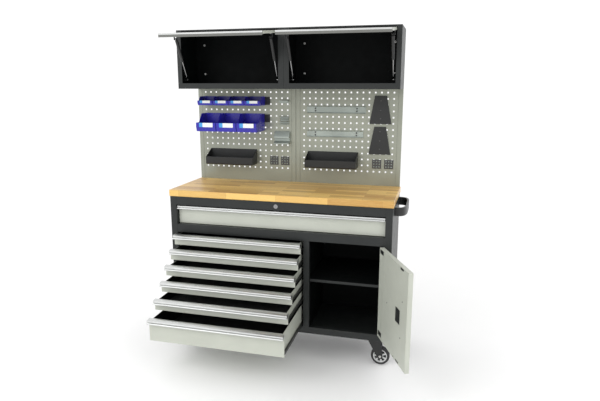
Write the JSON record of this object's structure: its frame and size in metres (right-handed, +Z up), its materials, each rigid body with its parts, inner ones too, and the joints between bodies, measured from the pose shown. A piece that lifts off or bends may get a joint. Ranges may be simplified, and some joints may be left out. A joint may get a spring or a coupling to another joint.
{
  "type": "mobile workshop bench with drawers, cupboard, tool wall and wall cabinets",
  "caption": "Mobile workshop bench with a wooden top, pull-out drawers, a hinged cupboard door, a tool wall with bins and trays, and flip-up overhead cabinets on gas struts.",
  "frame": {"origin": "on the floor under the middle of the base cabinet, half way between its front and its back", "axes": "+X to the viewer's right along the bench, +Y from its front to its back, +Z up"},
  "size_m": [1.5047, 0.907, 1.9706],
  "materials": {
    "body_paint": "charcoal semi-gloss powder coat",
    "front_paint": "light grey semi-gloss powder coat",
    "pull_aluminium": "satin anodised",
    "bright_steel": "zinc plated",
    "worktop_wood": "oiled finger-jointed hardwood",
    "wall_paint": "warm grey metallic coat",
    "black_metal": "black satin coat",
    "black_plastic": "matt moulded",
    "blue_plastic": "royal blue moulded",
    "wheel_rubber": "grey-black tread"
  },
  "bodies": {
    "bench": {"base_left_side": "body_paint", "base_right_side": "body_paint", "base_back": "body_paint", "base_bottom": "body_paint", "base_middle_deck": "body_paint", "base_top_rail": "body_paint", "base_divider": "body_paint", "cupboard_shelf": "body_paint", "upper_cabinet_left": "body_paint", "upper_cabinet_right": "body_paint", "drawer_runners_left": "bright_steel", "drawer_runners_middle": "bright_steel", "worktop": "worktop_wood", "wall_panel_left": "wall_paint", "wall_panel_right": "wall_paint", "push_handle": "black_metal", "fixed_bracket_front": "black_metal", "fixed_bracket_rear": "black_metal", "tool_holder_upper": "black_metal", "tool_holder_lower": "black_metal", "small_bin_rail": "black_metal", "large_bin_rail": "black_metal", "tray_left": "black_plastic", "tray_right": "black_plastic", "small_bins": "blue_plastic", "large_bins": "blue_plastic"},
    "drawer_1": {"drawer_1": "front_paint", "drawer_1_pull": "pull_aluminium"},
    "drawer_2": {"drawer_2": "front_paint", "drawer_2_pull": "pull_aluminium"},
    "drawer_3": {"drawer_3": "front_paint", "drawer_3_pull": "pull_aluminium"},
    "drawer_4": {"drawer_4": "front_paint", "drawer_4_pull": "pull_aluminium"},
    "drawer_5": {"drawer_5": "front_paint", "drawer_5_pull": "pull_aluminium"},
    "drawer_6": {"drawer_6": "front_paint", "drawer_6_pull": "pull_aluminium"},
    "top_drawer": {"top_drawer": "front_paint", "top_drawer_pull": "pull_aluminium"},
    "door": {"door_panel": "front_paint", "door_grip": "black_plastic"},
    "lock": {"lock_cylinder": "bright_steel"},
    "lid_left": {"lid_left": "body_paint"},
    "lid_right": {"lid_right": "body_paint"},
    "strut_rod_left_inner": {"strut_rod_left_inner": "bright_steel"},
    "strut_tube_left_inner": {"strut_tube_left_inner": "black_metal"},
    "strut_rod_left_outer": {"strut_rod_left_outer": "bright_steel"},
    "strut_tube_left_outer": {"strut_tube_left_outer": "black_metal"},
    "strut_rod_right_inner": {"strut_rod_right_inner": "bright_steel"},
    "strut_tube_right_inner": {"strut_tube_right_inner": "black_metal"},
    "strut_rod_right_outer": {"strut_rod_right_outer": "bright_steel"},
    "strut_tube_right_outer": {"strut_tube_right_outer": "black_metal"},
    "swivel_front": {"swivel_fork_front": "black_metal"},
    "swivel_rear": {"swivel_fork_rear": "black_metal"},
    "swivel_wheel_front": {"swivel_wheel_front": "wheel_rubber"},
    "swivel_wheel_rear": {"swivel_wheel_rear": "wheel_rubber"},
    "fixed_wheel_front": {"fixed_wheel_front": "wheel_rubber"},
    "fixed_wheel_rear": {"fixed_wheel_rear": "wheel_rubber"}
  },
  "joints": [
    {"name": "drawer_1_slide", "type": "slide", "parent": "bench", "child": "drawer_1", "axis": [0, -1, 0], "range_m": [-0.079, 0.349]},
    {"name": "drawer_2_slide", "type": "slide", "parent": "bench", "child": "drawer_2", "axis": [0, -1, 0], "range_m": [-0.138, 0.29]},
    {"name": "drawer_3_slide", "type": "slide", "parent": "bench", "child": "drawer_3", "axis": [0, -1, 0], "range_m": [-0.204, 0.224]},
    {"name": "drawer_4_slide", "type": "slide", "parent": "bench", "child": "drawer_4", "axis": [0, -1, 0], "range_m": [-0.268, 0.16]},
    {"name": "drawer_5_slide", "type": "slide", "parent": "bench", "child": "drawer_5", "axis": [0, -1, 0], "range_m": [-0.352, 0.076]},
    {"name": "drawer_6_slide", "type": "slide", "parent": "bench", "child": "drawer_6", "axis": [0, -1, 0], "range_m": [-0.428, 0]},
    {"name": "top_drawer_slide", "type": "slide", "parent": "bench", "child": "top_drawer", "axis": [0, -1, 0], "range_m": [0, 0.428]},
    {"name": "door_hinge", "type": "hinge", "parent": "bench", "child": "door", "pos_m": [0.6375, -0.24, 0.48], "axis": [0, 0, 1], "range_deg": [-115, 10]},
    {"name": "lock_turn", "type": "hinge", "parent": "bench", "child": "lock", "pos_m": [0, -0.24, 0.95], "axis": [0, 1, 0], "range_deg": [0, 90]},
    {"name": "lid_left_hinge", "type": "hinge", "parent": "bench", "child": "lid_left", "pos_m": [-0.3425, -0.0503, 1.9506], "axis": [-1, 0, 0], "range_deg": [-84, 0]},
    {"name": "strut_rod_left_inner_swing", "type": "hinge", "parent": "bench", "child": "strut_rod_left_inner", "pos_m": [-0.0485, -0.0193, 1.6756], "axis": [1, 0, 0], "range_deg": [-27.76, 0]},
    {"name": "strut_tube_left_inner_slide", "type": "slide", "parent": "strut_rod_left_inner", "child": "strut_tube_left_inner", "axis": [0, -0.4803, 0.8771], "range_m": [-0.0968, 0]},
    {"name": "strut_rod_left_outer_swing", "type": "hinge", "parent": "bench", "child": "strut_rod_left_outer", "pos_m": [-0.6365, -0.0193, 1.6756], "axis": [1, 0, 0], "range_deg": [-27.76, 0]},
    {"name": "strut_tube_left_outer_slide", "type": "slide", "parent": "strut_rod_left_outer", "child": "strut_tube_left_outer", "axis": [0, -0.4803, 0.8771], "range_m": [-0.0968, 0]},
    {"name": "lid_right_hinge", "type": "hinge", "parent": "bench", "child": "lid_right", "pos_m": [0.3425, -0.0503, 1.9506], "axis": [-1, 0, 0], "range_deg": [-84, 0]},
    {"name": "strut_rod_right_inner_swing", "type": "hinge", "parent": "bench", "child": "strut_rod_right_inner", "pos_m": [0.0485, -0.0193, 1.6756], "axis": [1, 0, 0], "range_deg": [-27.76, 0]},
    {"name": "strut_tube_right_inner_slide", "type": "slide", "parent": "strut_rod_right_inner", "child": "strut_tube_right_inner", "axis": [0, -0.4803, 0.8771], "range_m": [-0.0968, 0]},
    {"name": "strut_rod_right_outer_swing", "type": "hinge", "parent": "bench", "child": "strut_rod_right_outer", "pos_m": [0.6365, -0.0193, 1.6756], "axis": [1, 0, 0], "range_deg": [-27.76, 0]},
    {"name": "strut_tube_right_outer_slide", "type": "slide", "parent": "strut_rod_right_outer", "child": "strut_tube_right_outer", "axis": [0, -0.4803, 0.8771], "range_m": [-0.0968, 0]},
    {"name": "swivel_front_turn", "type": "hinge", "parent": "bench", "child": "swivel_front", "pos_m": [0.598, -0.178, 0.16], "axis": [0, 0, 1], "continuous": true},
    {"name": "swivel_wheel_front_roll", "type": "hinge", "parent": "swivel_front", "child": "swivel_wheel_front", "pos_m": [0.631, -0.178, 0.056], "axis": [0, 1, 0], "continuous": true},
    {"name": "fixed_wheel_front_roll", "type": "hinge", "parent": "bench", "child": "fixed_wheel_front", "pos_m": [-0.598, -0.178, 0.056], "axis": [0, 1, 0], "continuous": true},
    {"name": "swivel_rear_turn", "type": "hinge", "parent": "bench", "child": "swivel_rear", "pos_m": [0.598, 0.178, 0.16], "axis": [0, 0, 1], "continuous": true},
    {"name": "swivel_wheel_rear_roll", "type": "hinge", "parent": "swivel_rear", "child": "swivel_wheel_rear", "pos_m": [0.631, 0.178, 0.056], "axis": [0, 1, 0], "continuous": true},
    {"name": "fixed_wheel_rear_roll", "type": "hinge", "parent": "bench", "child": "fixed_wheel_rear", "pos_m": [-0.598, 0.178, 0.056], "axis": [0, 1, 0], "continuous": true}
  ],
  "couplings": [
    {"joint": "strut_rod_left_inner_swing", "follows": "lid_left_hinge", "ratio": 0.32993},
    {"joint": "strut_tube_left_inner_slide", "follows": "lid_left_hinge", "m_per_rad": 0.065895},
    {"joint": "strut_rod_left_outer_swing", "follows": "lid_left_hinge", "ratio": 0.32993},
    {"joint": "strut_tube_left_outer_slide", "follows": "lid_left_hinge", "m_per_rad": 0.065895},
    {"joint": "strut_rod_right_inner_swing", "follows": "lid_right_hinge", "ratio": 0.32993},
    {"joint": "strut_tube_right_inner_slide", "follows": "lid_right_hinge", "m_per_rad": 0.065895},
    {"joint": "strut_rod_right_outer_swing", "follows": "lid_right_hinge", "ratio": 0.32993},
    {"joint": "strut_tube_right_outer_slide", "follows": "lid_right_hinge", "m_per_rad": 0.065895}
  ]
}
